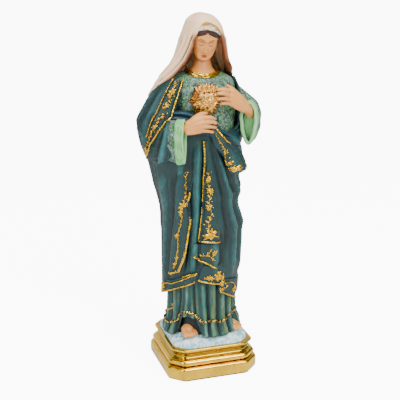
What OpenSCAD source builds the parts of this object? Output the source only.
/* [Overall] */
// Total height of the statue, from the felt to the top of the veil; the sizes
// below are those of a statue 400 mm high, and grow or shrink with it
total_h = 400; // [200:10:600]
// Smoothness of the round forms
round_fn = 16; // [16:4:24]

/* [Plinth] */
// Width and depth of the square slab at the foot of the plinth
slab_w = 106; // [102:1:110]
// Length that each slab corner is cut back along the sides
corner_cut = 15; // [10:1:18]
// Thickness of the felt under the plinth
felt_t = 1.5; // [1:0.5:3]
// Height of the plinth's upright slab
slab_h = 15; // [12:1:17]
// Height of the whole plinth, felt included
plinth_h = 36; // [34:1:38]
// Diameter of the pocket for the nut in the plinth's underside
pocket_d = 32; // [24:1:40]
// Thickness of the plaster above that pocket
wall = 9; // [7:1:12]

/* [Core rod] */
// Diameter of the iron rod that ties the figure to the plinth
rod_d = 6; // [5:0.5:8]
// Clearance on the radius around the rod
rod_gap = 0.1; // [0.05:0.05:0.4]

/* [Figure] */
// Thickness of the plaster drapery layers
cloth_t = 4; // [3:0.5:4.5]
// Gap between layers that are cast apart
joint_gap = 0.3; // [0.2:0.1:0.5]
// Depth of the folds in the skirt
fold_d = 2; // [1:0.5:3]
// Number of folds round the skirt
fold_n = 15; // [11:1:19]

/* [Heart] */
// Width of the heart emblem, rays included
heart_w = 42; // [38:1:44]
// Number of rays behind the heart
ray_n = 18; // [14:2:30]

/* [Hidden] */
$fn = round_fn;

// Each outline is a list of [height, left x, right x, front y, back y], and its
// cross-section is four quarter ellipses about the figure's upright axis.
axis_x = -3;
axis_y = 0;
ref_h = 400;
ground_z = 50;
waist_z = 255;
neck_z = 334;

core_outline = [
    [36, -44, 42, -41, 37], [48, -42, 40, -38, 35], [66, -39, 36, -35, 32],
    [90, -38, 35, -33, 30], [130, -40, 38, -33, 30], [170, -40, 39, -33, 30],
    [205, -40, 34, -32, 28], [235, -38, 30, -29, 26], [262, -34, 28, -25, 24],
    [300, -36, 31, -26, 26], [318, -38, 33, -22, 24], [328, -30, 26, -17, 20],
    [334, -17, 12, -13, 14],
];
mantle_outline = [
    [74, -46, 40, -38, 37], [100, -47, 44, -40, 38], [120, -47, 45, -41, 38],
    [150, -47, 45, -41, 38], [170, -47, 47, -41, 38], [190, -48, 42, -40, 37],
    [208, -52, 44, -39, 36], [226, -57, 41, -38, 35], [245, -61, 42, -38, 34],
    [262, -69, 42, -37, 34], [280, -73, 42, -36, 35], [296, -68, 43, -35, 36],
    [310, -58, 43, -31, 36], [322, -48, 40, -26, 34], [330, -38, 34, -22, 30],
];
veil_outline = [
    [313, -56, 38, -26, 42], [325, -50, 36, -27, 41], [338, -40, 32, -27, 38],
    [352, -32, 27, -28, 35], [366, -27, 24, -29, 33], [378, -24, 22, -28, 31],
    [388, -19, 18, -24, 27], [395, -13, 13, -17, 20], [ref_h, -7, 6, -10, 10],
];
// Where the mantle opens at the front: [height, first angle, last angle], with
// angles that start at the front and go round by the figure's right side.
mantle_opening = [
    [74, 2, 358], [245, 2, 358], [262, 24, 318], [280, 40, 300],
    [310, 42, 292], [330, 48, 286],
];
// Where the veil opens over the face, in the same way.
veil_opening = [[313, 74, 288], [330, 66, 290], [350, 52, 306], [372, 44, 314], [389.5, 30, 330]];

right_wrist = [-34, -47, 288];
right_turn = [0, 0, 4];
left_wrist = [43, -31, 300];
left_turn = [0, -27, 198];
heart_at = [-8, -37, 311];
head_at = [0, -8, 373.5];
chin_tilt = 23;
head_lean = 6;
head_turn = -8;

function mix_row(table, z, k) = lookup(z, [for (r = table) [r[0], r[k]]]);
function quarter(c, low, high, s) = c + (s < 0 ? (c - low) : (high - c)) * s;
// A point on an outline at height z and angle a, moved out by "out".
function skin(table, z, a, out = 0) = [
    quarter(axis_x, mix_row(table, z, 1) - out, mix_row(table, z, 2) + out, -sin(a)),
    quarter(axis_y, mix_row(table, z, 3) - out, mix_row(table, z, 4) + out, -cos(a)),
    z,
];
function steps(a, b, n) = [for (i = [0 : n]) a + (b - a) * i / n];
function pleat(a, n) = abs(sin(n * a / 2)) - 0.5;

// A closed skin through equal rings of points, with flat ends.
module tube_skin(rings) {
    n = len(rings[0]);
    m = len(rings);
    sides = [
        for (j = [0 : m - 2], i = [0 : n - 1])
            let (k = (i + 1) % n)
            [[j * n + i, (j + 1) * n + k, j * n + k],
             [j * n + i, (j + 1) * n + i, (j + 1) * n + k]]
    ];
    polyhedron(
        points = [for (r = rings) each r],
        faces = [
            for (s = sides) each s,
            [for (i = [0 : n - 1]) i],
            [for (i = [n - 1 : -1 : 0]) (m - 1) * n + i],
        ]
    );
}

// A closed sheet between an outer and an inner grid of points.
module sheet_skin(outer, inner) {
    m = len(outer);
    n = len(outer[0]);
    rim = concat(
        [for (i = [0 : n - 1]) i],
        [for (j = [1 : m - 1]) j * n + n - 1],
        [for (i = [n - 2 : -1 : 0]) (m - 1) * n + i],
        [for (j = [m - 2 : -1 : 1]) j * n]
    );
    total = m * n;
    cells = [
        for (j = [0 : m - 2], i = [0 : n - 2])
            let (a = j * n + i, b = a + 1, c = a + n, d = c + 1)
            [[a, b, d], [a, d, c], [total + a, total + d, total + b], [total + a, total + c, total + d]]
    ];
    edge = [
        for (i = [0 : len(rim) - 1])
            let (a = rim[i], b = rim[(i + 1) % len(rim)])
            [[a, total + b, b], [a, total + a, total + b]]
    ];
    polyhedron(
        points = [for (r = outer) each r, for (r = inner) each r],
        faces = [for (c = cells) each c, for (e = edge) each e]
    );
}

// A layer of drapery on an outline, from angle first(z) to last(z).
module drape(table, opening, z0, z1, rows, cols, out, t, n = 0, depth = 0) {
    outer = [
        for (z = steps(z0, z1, rows)) [
            for (a = steps(mix_row(opening, z, 1), mix_row(opening, z, 2), cols))
                skin(table, z, a, out + depth * pleat(a, n))
        ]
    ];
    inner = [
        for (z = steps(z0, z1, rows)) [
            for (a = steps(mix_row(opening, z, 1), mix_row(opening, z, 2), cols))
                skin(table, z, a, out - t)
        ]
    ];
    sheet_skin(outer, inner);
}

function octagon(w, cut) = let (h = w / 2, c = h - cut) [
    [h, -c], [h, c], [c, h], [-c, h], [-h, c], [-h, -c], [-c, -h], [c, -h],
];

// A ring of round wire along a list of points, for the raised gilt lines.
module wire(path, d) {
    n = 6;
    last = len(path) - 1;
    tube_skin([
        for (i = [0 : last])
            let (
                t0 = path[min(last, i + 1)] - path[max(0, i - 1)],
                t = t0 / norm(t0),
                s0 = cross(t, [0, 1, 0.01]),
                s = s0 / norm(s0),
                u = cross(s, t)
            )
            [for (k = [0 : n - 1]) path[i] + d / 2 * (cos(360 * k / n) * s + sin(360 * k / n) * u)]
    ]);
}

module capsule(a, b, ra, rb) {
    hull() {
        translate(a) sphere(ra);
        translate(b) sphere(rb);
    }
}

// The solid inside an outline, used to trim what is laid against it.
module outline_solid(table, z0, z1, rows, out) {
    tube_skin([
        for (z = steps(z0, z1, rows)) [for (a = steps(0, 348, 29)) skin(table, z, -a, out)]
    ]);
}

// The wedge in front of the axis that an opening leaves free.
module opening_wedge(opening) {
    reach = 90;
    tube_skin([
        for (row = opening)
            let (a = row[1], b = row[2] - 360, z = row[0])
            concat(
                [[axis_x, axis_y + 4, z]],
                [for (w = steps(a, b, 3)) [axis_x - reach * sin(w), axis_y - reach * cos(w), z]]
            )
    ]);
}

// Everything is drawn at the reference height and brought to size here.
module sized() {
    scale(total_h / ref_h) children();
}

// ---- Plinth -------------------------------------------------------------

module felt_pad() {
    margin = 1.5;
    color("darkolivegreen") sized()
        linear_extrude(felt_t) polygon(octagon(slab_w - 2 * margin, corner_cut));
}

// Cross-section of the plinth's side above the felt: [height, inset]. An
// upright slab, a half-round torus, a hollow cove and a thin lip.
cap_h = plinth_h - felt_t;
torus_h = 8;
cove_h = cap_h - slab_h - torus_h - 4;
plinth_profile = concat(
    [[0, 0.8], [0.8, 0], [slab_h - 1.2, 0], [slab_h - 0.4, 0.8], [slab_h, 4.4]],
    [for (a = steps(0, 180, 8)) [slab_h + 0.4 + torus_h / 2 * (1 - cos(a)), 6.6 - 3.4 * sin(a)]],
    [for (a = steps(0, 90, 5)) [slab_h + 1.2 + torus_h + cove_h * sin(a), 10.4 - 4.4 * (1 - cos(a))]],
    [[cap_h - 2, 5.6], [cap_h - 0.6, 5.6], [cap_h, 6.4]]
);
// A corner cut shrinks by this much for each unit of inset, to keep its angle.
cut_k = 2 - sqrt(2);

module plinth() {
    rings = [
        for (p = plinth_profile) [
            for (q = octagon(slab_w - 2 * p[1], corner_cut - cut_k * p[1])) [q[0], q[1], felt_t + p[0]]
        ]
    ];
    color("goldenrod") sized()
        difference() {
            tube_skin(rings);
            translate([0, 0, felt_t - 1]) cylinder(d = pocket_d, h = cap_h - wall + 1);
            cylinder(r = rod_d / 2 + rod_gap, h = plinth_h + 1);
        }
}

// A mound of cloud: [height above the plinth, half width] of its rings.
cloud_rings = [[0, 43.5], [3, 43.8], [6, 42.5], [9, 40], [11.5, 37.5], [13, 34], [14, 30]];
module cloud_ground() {
    lumps = 9;
    seam = joint_gap / 10;
    rings = [
        for (s = cloud_rings) [
            for (a = steps(0, 355, 71))
                let (
                    square_r = 1 / pow(pow(abs(cos(a)), 6) + pow(abs(sin(a)), 6), 1 / 6),
                    r = s[1] * min(square_r, 1.22) * (1 - 0.03 * abs(sin(lumps * a)))
                )
                [r * cos(a), r * sin(a), plinth_h + s[0] * (ground_z - plinth_h) / 14 + seam]
        ]
    ];
    color("lightblue") sized()
        difference() {
            tube_skin(rings);
            cylinder(r = rod_d / 2 + rod_gap, h = ground_z + 2);
        }
}

// ---- Rod that ties the casting together -----------------------------------

rod_low = felt_t + 4;
rod_high = 300;
ledge_z = plinth_h - wall;
washer_t = 1.6;
nut_h = 5;

module core_rod() {
    color("dimgray") sized() translate([0, 0, rod_low]) cylinder(d = rod_d, h = rod_high - rod_low);
}

module rod_washer() {
    color("silver") sized()
        translate([0, 0, ledge_z - washer_t])
            difference() {
                cylinder(d = rod_d + 14, h = washer_t);
                translate([0, 0, -1]) cylinder(r = rod_d / 2 + rod_gap, h = washer_t + 2);
            }
}

module rod_nut() {
    color("silver") sized()
        translate([0, 0, ledge_z - washer_t - nut_h])
            difference() {
                cylinder(d = rod_d + 5.5, h = nut_h, $fn = 6);
                translate([0, 0, -1]) cylinder(r = rod_d / 2 + rod_gap / 2, h = nut_h + 2);
            }
}

// ---- Tunic ----------------------------------------------------------------

hem_flare_z = 100;
module tunic_skirt() {
    heights = [ground_z + joint_gap / 3, 58, 68, 82, hem_flare_z, 130, 165, 205, 235, waist_z];
    rings = [
        for (z = heights) [
            for (a = steps(0, 354, 59))
                skin(core_outline, z, -a, fold_d * pleat(a, fold_n) * (z < hem_flare_z ? 1 : 0.2))
        ]
    ];
    color("seagreen") sized()
        difference() {
            tube_skin(rings);
            translate([0, 0, ground_z - 1]) cylinder(r = rod_d / 2 + rod_gap, h = waist_z);
        }
}

module hem_braid() {
    band_z = 64;
    band_h = 4;
    full_ring = [[band_z - 5, 2, 358], [band_z + band_h + 5, 2, 358]];
    color("gold") sized()
        drape(core_outline, full_ring, band_z, band_z + band_h, 1, 60, 2.6, 1.2, fold_n, fold_d);
}

// The socket of the wooden dowel that joins the head to the body.
dowel_d = 5;
dowel_x = -2;
dowel_low = rod_high + 4.5;
dowel_len = 50;
module dowel_socket(z0, z1) {
    translate([dowel_x, 0, z0]) cylinder(d = dowel_d + 2 * rod_gap, h = z1 - z0);
}

module tunic_bodice() {
    rings = [
        for (z = [waist_z + joint_gap / 3, 262, 280, 300, 318, 328, neck_z])
            [for (a = steps(0, 352.5, 47)) skin(core_outline, z, -a)]
    ];
    color("mediumaquamarine") sized()
        difference() {
            tube_skin(rings);
            cylinder(r = rod_d / 2 + rod_gap, h = rod_high + 0.5);
            dowel_socket(dowel_low - 0.5, neck_z + 1);
            heart_hole();
        }
}

module collar_band() {
    color("gold") sized()
        difference() {
            outline_solid(core_outline, 329, neck_z, 2, 2.2);
            outline_solid(core_outline, 328, neck_z + 1, 2, joint_gap / 3);
            translate([axis_x - 60, 8, 300]) cube([120, 60, 60]);
        }
}

// ---- Head -----------------------------------------------------------------

// What children draw is in the head's own tilted frame, face towards -Y.
module head_frame() {
    translate(head_at) rotate([chin_tilt, head_lean, head_turn]) children();
}

module head_form(grow = 0) {
    hull() {
        translate([0, 5, 4]) sphere(15.5 + grow, $fn = 24);
        translate([0, -3, -1]) sphere(13 + grow, $fn = 24);
        translate([0, -7.5, -13.5]) sphere(5.5 + grow, $fn = 16);
    }
}

module head() {
    color("bisque") sized()
        difference() {
            union() {
                head_frame() head_form();
                translate([dowel_x, -1, neck_z + joint_gap]) cylinder(r1 = 13, r2 = 10, h = 28);
            }
            dowel_socket(rod_high, dowel_low + dowel_len + 1);
        }
}

module neck_dowel() {
    color("burlywood") sized() translate([dowel_x, 0, dowel_low]) cylinder(d = dowel_d, h = dowel_len);
}

// The hair lies between the skull and the veil and leaves the face free.
module hair() {
    color("saddlebrown") sized()
        head_frame()
            difference() {
                head_form(2.2);
                head_form(joint_gap);
                hull() {
                    translate([0, -20, 0]) sphere(11.5);
                    translate([0, -20, -20]) sphere(12);
                }
                translate([-40, -40, -60]) cube([80, 80, 48]);
                translate([-40, 5, -60]) cube([80, 40, 100]);
            }
}

module lace_cap() {
    color("ivory") sized()
        head_frame()
            intersection() {
                difference() {
                    head_form(3.6);
                    head_form(2.4);
                }
                translate([-30, -9, 3]) rotate([18, 0, 0]) cube([60, 7, 30]);
            }
}

module veil() {
    low = 313;
    t = 0.8 * cloth_t;
    color("antiquewhite") sized()
        difference() {
            outline_solid(veil_outline, low, ref_h, 10, 0);
            outline_solid(veil_outline, low - 1, ref_h - t, 8, -t);
            opening_wedge(veil_opening);
        }
}

// ---- Mantle ---------------------------------------------------------------

mantle_low = 76;
mantle_high = 328;
// The mantle is cast solid from its folds back to the tunic and the arm.
module mantle() {
    folds = 11;
    rows = steps(mantle_low, mantle_high, 18);
    outer = [for (z = rows) mantle_row(mantle_outline, z, 0, folds, 1)];
    inner = [for (z = rows) mantle_row(core_outline, z, joint_gap + fold_d / 2, 0, 0)];
    color("teal") sized() sheet_skin(outer, inner);
}

function mantle_row(table, z, out, n, depth) = [
    for (a = steps(mix_row(mantle_opening, z, 1), mix_row(mantle_opening, z, 2), 44))
        skin(table, z, a, out + depth * pleat(a, n))
];

// A fold laid over the mantle between heights z0 and z1: it runs from angle a0
// to a1 at its foot and from b0 to b1 at its top.
module layer(z0, z1, a0, a1, b0, b1, out, rows = 6, cols = 6) {
    span = [[z0, a0, a1], [z1, b0, b1]];
    drape(mantle_outline, span, z0, z1, rows, cols, out, fold_t);
}
fold_t = 2.8;
over_mantle = fold_t + 0.8;

module hem_fold_right() {
    color("teal") sized() layer(100, 124, 30, 84, 30, 76, over_mantle);
}

module hem_fold_left() {
    color("teal") sized() layer(84, 156, -42, 14, -12, 12, over_mantle);
}

module border_strip() {
    color("darkcyan") sized() layer(128, 232, 47, 68, 20, 40, over_mantle, 10);
}

module centre_panel() {
    color("darkcyan") sized() layer(158.4, 268, -15, 17, -4, 8, over_mantle, 10);
}

module waist_fold() {
    span = [[268, -44, 26], [286, -56, 38]];
    color("darkcyan") sized() drape(core_outline, span, 268, 286, 4, 12, 5, 4.6);
}

module turned_flap() {
    r = 3;
    color("darkcyan") sized()
        difference() {
            hull() {
                translate([0, -41, 282]) sphere(r);
                translate([-6, -42, 272]) sphere(r);
                translate([43, -35, 240]) sphere(r);
                translate([33, -40, 229]) sphere(r);
            }
            outline_solid(mantle_outline, 215, 300, 4, joint_gap);
        }
}

// The mantle that hangs in a bag from the right forearm.
module arm_drape() {
    r = 4;
    color("teal") sized()
        difference() {
            hull() {
                translate([-64, -20, 256]) sphere(r);
                translate([-56, -28, 247]) sphere(r);
                translate([-49, -34, 254]) sphere(r);
                translate([-52, -36, 292]) sphere(r);
                translate([-66, -22, 280]) sphere(r);
            }
            outline_solid(mantle_outline, 230, 310, 4, joint_gap);
            sleeve_form(joint_gap);
        }
}

// ---- Sleeves and hands ----------------------------------------------------

// The right forearm runs level from the elbow to the cuff.
module sleeve_form(grow = 0) {
    hull() {
        translate([-52, -26, 286]) sphere(8 + grow);
        translate([-52, -26, 262]) sphere(5 + grow);
        translate([-43, -42, 288]) sphere(8.6 + grow);
        translate([-43, -42, 255]) sphere(4 + grow);
    }
}

module right_sleeve() {
    color("mediumaquamarine") sized()
        difference() {
            sleeve_form();
            outline_solid(mantle_outline, 230, 320, 4, joint_gap);
            cuff_form(joint_gap);
            wrist_hole(right_wrist, right_turn);
        }
}

// A hanging oval, two circles [across, height, radius] hulled, seen along the
// arm: it starts at a place, faces the way "turn" and is "deep" mm thick.
module hanging_oval(at, turn, top, low, grow, d0, deep) {
    translate(at)
        rotate([0, 0, turn])
            rotate([90, 0, 90])
                translate([0, 0, d0])
                    linear_extrude(deep)
                        hull() {
                            translate([top[0], top[1]]) circle(top[2] + grow);
                            translate([low[0], low[1]]) circle(low[2] + grow);
                        }
}

cuff_t = 5.4;
module cuff_form(grow = 0) {
    hanging_oval([-41, -46, 0], -32, [0, 288, 9.5], [0, 252, 5], grow, -grow, cuff_t + 2 * grow);
}

module right_cuff() {
    wrist_r = 4.9;
    color("palegreen") sized()
        difference() {
            cuff_form();
            wrist_axis(right_wrist, right_turn, 9) cylinder(r = wrist_r, h = 16);
        }
}

loop_wall = 3.6;
module loop_form(grow, d0, deep) {
    hanging_oval([47, -31, 0], -58, [0, 297, 10], [2, 266, 7], grow, d0, deep);
}

module left_cuff() {
    color("palegreen") sized()
        difference() {
            loop_form(0, 0, cuff_t);
            loop_form(-loop_wall, -1, cuff_t + 2);
        }
}

module left_sleeve() {
    color("mediumaquamarine") sized()
        difference() {
            hull() {
                translate([40, 2, 314]) sphere(11);
                translate([58, -6, 284]) sphere(9);
                translate([57, -14, 297]) sphere(9);
                translate([57, -14, 264]) sphere(4);
            }
            outline_solid(mantle_outline, 240, 330, 5, joint_gap);
            outline_solid(core_outline, 250, neck_z, 5, joint_gap);
            loop_form(joint_gap, -1, cuff_t + 2);
            wrist_hole(left_wrist, left_turn);
        }
}

// A hand along +X from the wrist at the origin, its back towards -Y.
// Each finger is [spread, length, droop], from the first to the little finger.
fingers = [[5.2, 19, 4], [1.8, 21, 1], [-1.6, 20, -2], [-4.8, 16, -6]];
module hand($fn = 10) {
    knuckle = 13;
    difference() {
        union() {
            capsule([-6, 0, 0], [3, 0, 0], 5.4, 5);
            hull() {
                translate([2, 0, 0]) sphere(5);
                translate([knuckle + 1, 0, 4]) sphere(3.6);
                translate([knuckle + 1, 0, -4]) sphere(3.6);
            }
            for (f = fingers)
                capsule([knuckle, 0, f[0]], [knuckle + f[1], 0.6, f[0] + f[2]], 2.3, 1.5);
            capsule([4, 0, 4], [knuckle, 1, 9.5], 2.8, 2);
        }
        rotate([0, 90, 0]) translate([0, 0, -12]) cylinder(d = pin_d + 4 * rod_gap, h = 12, $fn = 24);
    }
}

module right_hand() {
    color("bisque") sized()
        translate(right_wrist) rotate(right_turn) scale(0.82) hand();
}

module left_hand() {
    color("bisque") sized()
        translate(left_wrist) rotate(left_turn) mirror([0, 1, 0]) scale(0.95) hand();
}

// A wire pin runs from inside each wrist into the sleeve behind it.
pin_d = 2;
pin_len = 7;
module wrist_axis(at, turn, back) {
    translate(at) rotate(turn) rotate([0, 90, 0]) translate([0, 0, -back]) children();
}

module wrist_hole(at, turn) {
    wrist_axis(at, turn, pin_len + 2) cylinder(d = pin_d + rod_gap, h = pin_len + 2);
}

module right_wrist_pin() {
    color("dimgray") sized()
        wrist_axis(right_wrist, right_turn, pin_len + 1) cylinder(d = pin_d, h = pin_len);
}

module left_wrist_pin() {
    color("dimgray") sized()
        wrist_axis(left_wrist, left_turn, pin_len + 1) cylinder(d = pin_d, h = pin_len);
}

// ---- Heart emblem -----------------------------------------------------------

peg_d = 2.4;
peg_len = 14;
module heart_hole() {
    translate(heart_at + [0, 1, 0]) rotate([-90, 0, 0]) cylinder(d = peg_d + rod_gap, h = peg_len + 2);
}

module heart() {
    color("goldenrod") sized()
        difference() {
            translate(heart_at)
                hull() {
                    translate([-4, 0, 3]) sphere(5.5);
                    translate([4, 0, 3]) sphere(5.5);
                    translate([1.5, 0, -8]) sphere(2);
                }
            heart_hole();
        }
}

module heart_flame() {
    tall = 9;
    color("gold") sized()
        translate(heart_at + [0, -1, 9.2])
            for (s = [-3, 0, 3])
                translate([s, 0, 0]) rotate([0, s * 7, 0]) cylinder(r1 = 2.4, r2 = 0.6, h = tall - abs(s));
}

module heart_roses() {
    spacing = 6.1;
    color("peru") sized()
        translate(heart_at + [0, -6.6, 0])
            for (s = [-1, 0, 1])
                translate([s * spacing, 0, -1 - abs(s) * 1.5]) sphere(2.9);
}

module heart_rays() {
    long_r = heart_w / 2;
    short_r = 0.68 * long_r;
    star = [
        for (i = [0 : 2 * ray_n - 1])
            let (a = 180 * i / ray_n, r = i % 2 == 0 ? long_r : short_r)
            [r * sin(a), r * cos(a)]
    ];
    color("gold") sized()
        difference() {
            translate(heart_at + [0, 8.2, -2])
                rotate([90, 0, 0])
                    linear_extrude(2.2)
                        polygon(star);
            heart_hole();
        }
}

module heart_peg() {
    color("dimgray") sized()
        translate(heart_at + [0, 1.5, 0]) rotate([-90, 0, 0]) cylinder(d = peg_d, h = peg_len);
}

// ---- Feet -------------------------------------------------------------------

module foot() {
    sole = 14;
    hull() {
        translate([0, 0, 4]) sphere(6);
        translate([-3.5, -sole + 2, 2.6]) sphere(3.2);
        translate([3.5, -sole + 2, 2.6]) sphere(3.2);
    }
    for (i = [0 : 4])
        translate([-5.6 + 2.8 * i, -sole - 1 + abs(i - 1.4) * 1.2, 2.2]) sphere(1.7);
}

module right_foot() {
    color("bisque") sized() translate([-27, -35, ground_z]) foot();
}

module left_foot() {
    color("bisque") sized() translate([29, -26, ground_z]) rotate([0, 0, 28]) scale(0.9) foot();
}

// ---- Gilding ------------------------------------------------------------------

line_d = 1.6;
// A raised line on the mantle's skin, or "out" mm in front of it.
module edge_line(z0, z1, a0, a1, out = over_mantle + 1, n = 6) {
    wire([
        for (i = [0 : n])
            skin(mantle_outline, z0 + (z1 - z0) * i / n, a0 + (a1 - a0) * i / n, out)
    ], line_d);
}

module gilt_edges() {
    color("gold") sized() {
        edge_line(128.5, 230, 46, 20);
        edge_line(128, 126, 48, 68);
        edge_line(159, 268, 18, 9);
        edge_line(158, 158, 17, -15);
        edge_line(100, 100, 31, 83);
        edge_line(84.5, 84.5, -41, 13);
        edge_line(262, 322, 40, 52, 1);
    }
}

// A row of n raised flowers that climbs by dz and turns by da from one to the next.
module spray_row(n, z0, dz, a0, da, out = over_mantle + 0.4) {
    for (i = [0 : n - 1])
        translate(skin(mantle_outline, z0 + dz * i, a0 + da * i, out)) sphere(2.2);
}

module gilt_sprays() {
    color("gold") sized() {
        spray_row(8, 138, 11, 56, -3.4);
        spray_row(8, 166, 12, 6, -0.5);
        spray_row(5, 270, 11, 47, 1, 0.6);
    }
}

felt_pad();
plinth();
cloud_ground();
core_rod();
rod_nut();
rod_washer();
tunic_skirt();
hem_braid();
tunic_bodice();
collar_band();
head();
neck_dowel();
hair();
lace_cap();
veil();
mantle();
hem_fold_right();
hem_fold_left();
border_strip();
centre_panel();
waist_fold();
turned_flap();
arm_drape();
right_sleeve();
left_sleeve();
right_cuff();
left_cuff();
right_hand();
left_hand();
right_wrist_pin();
left_wrist_pin();
heart();
heart_flame();
heart_roses();
heart_rays();
heart_peg();
right_foot();
left_foot();
gilt_edges();
gilt_sprays();
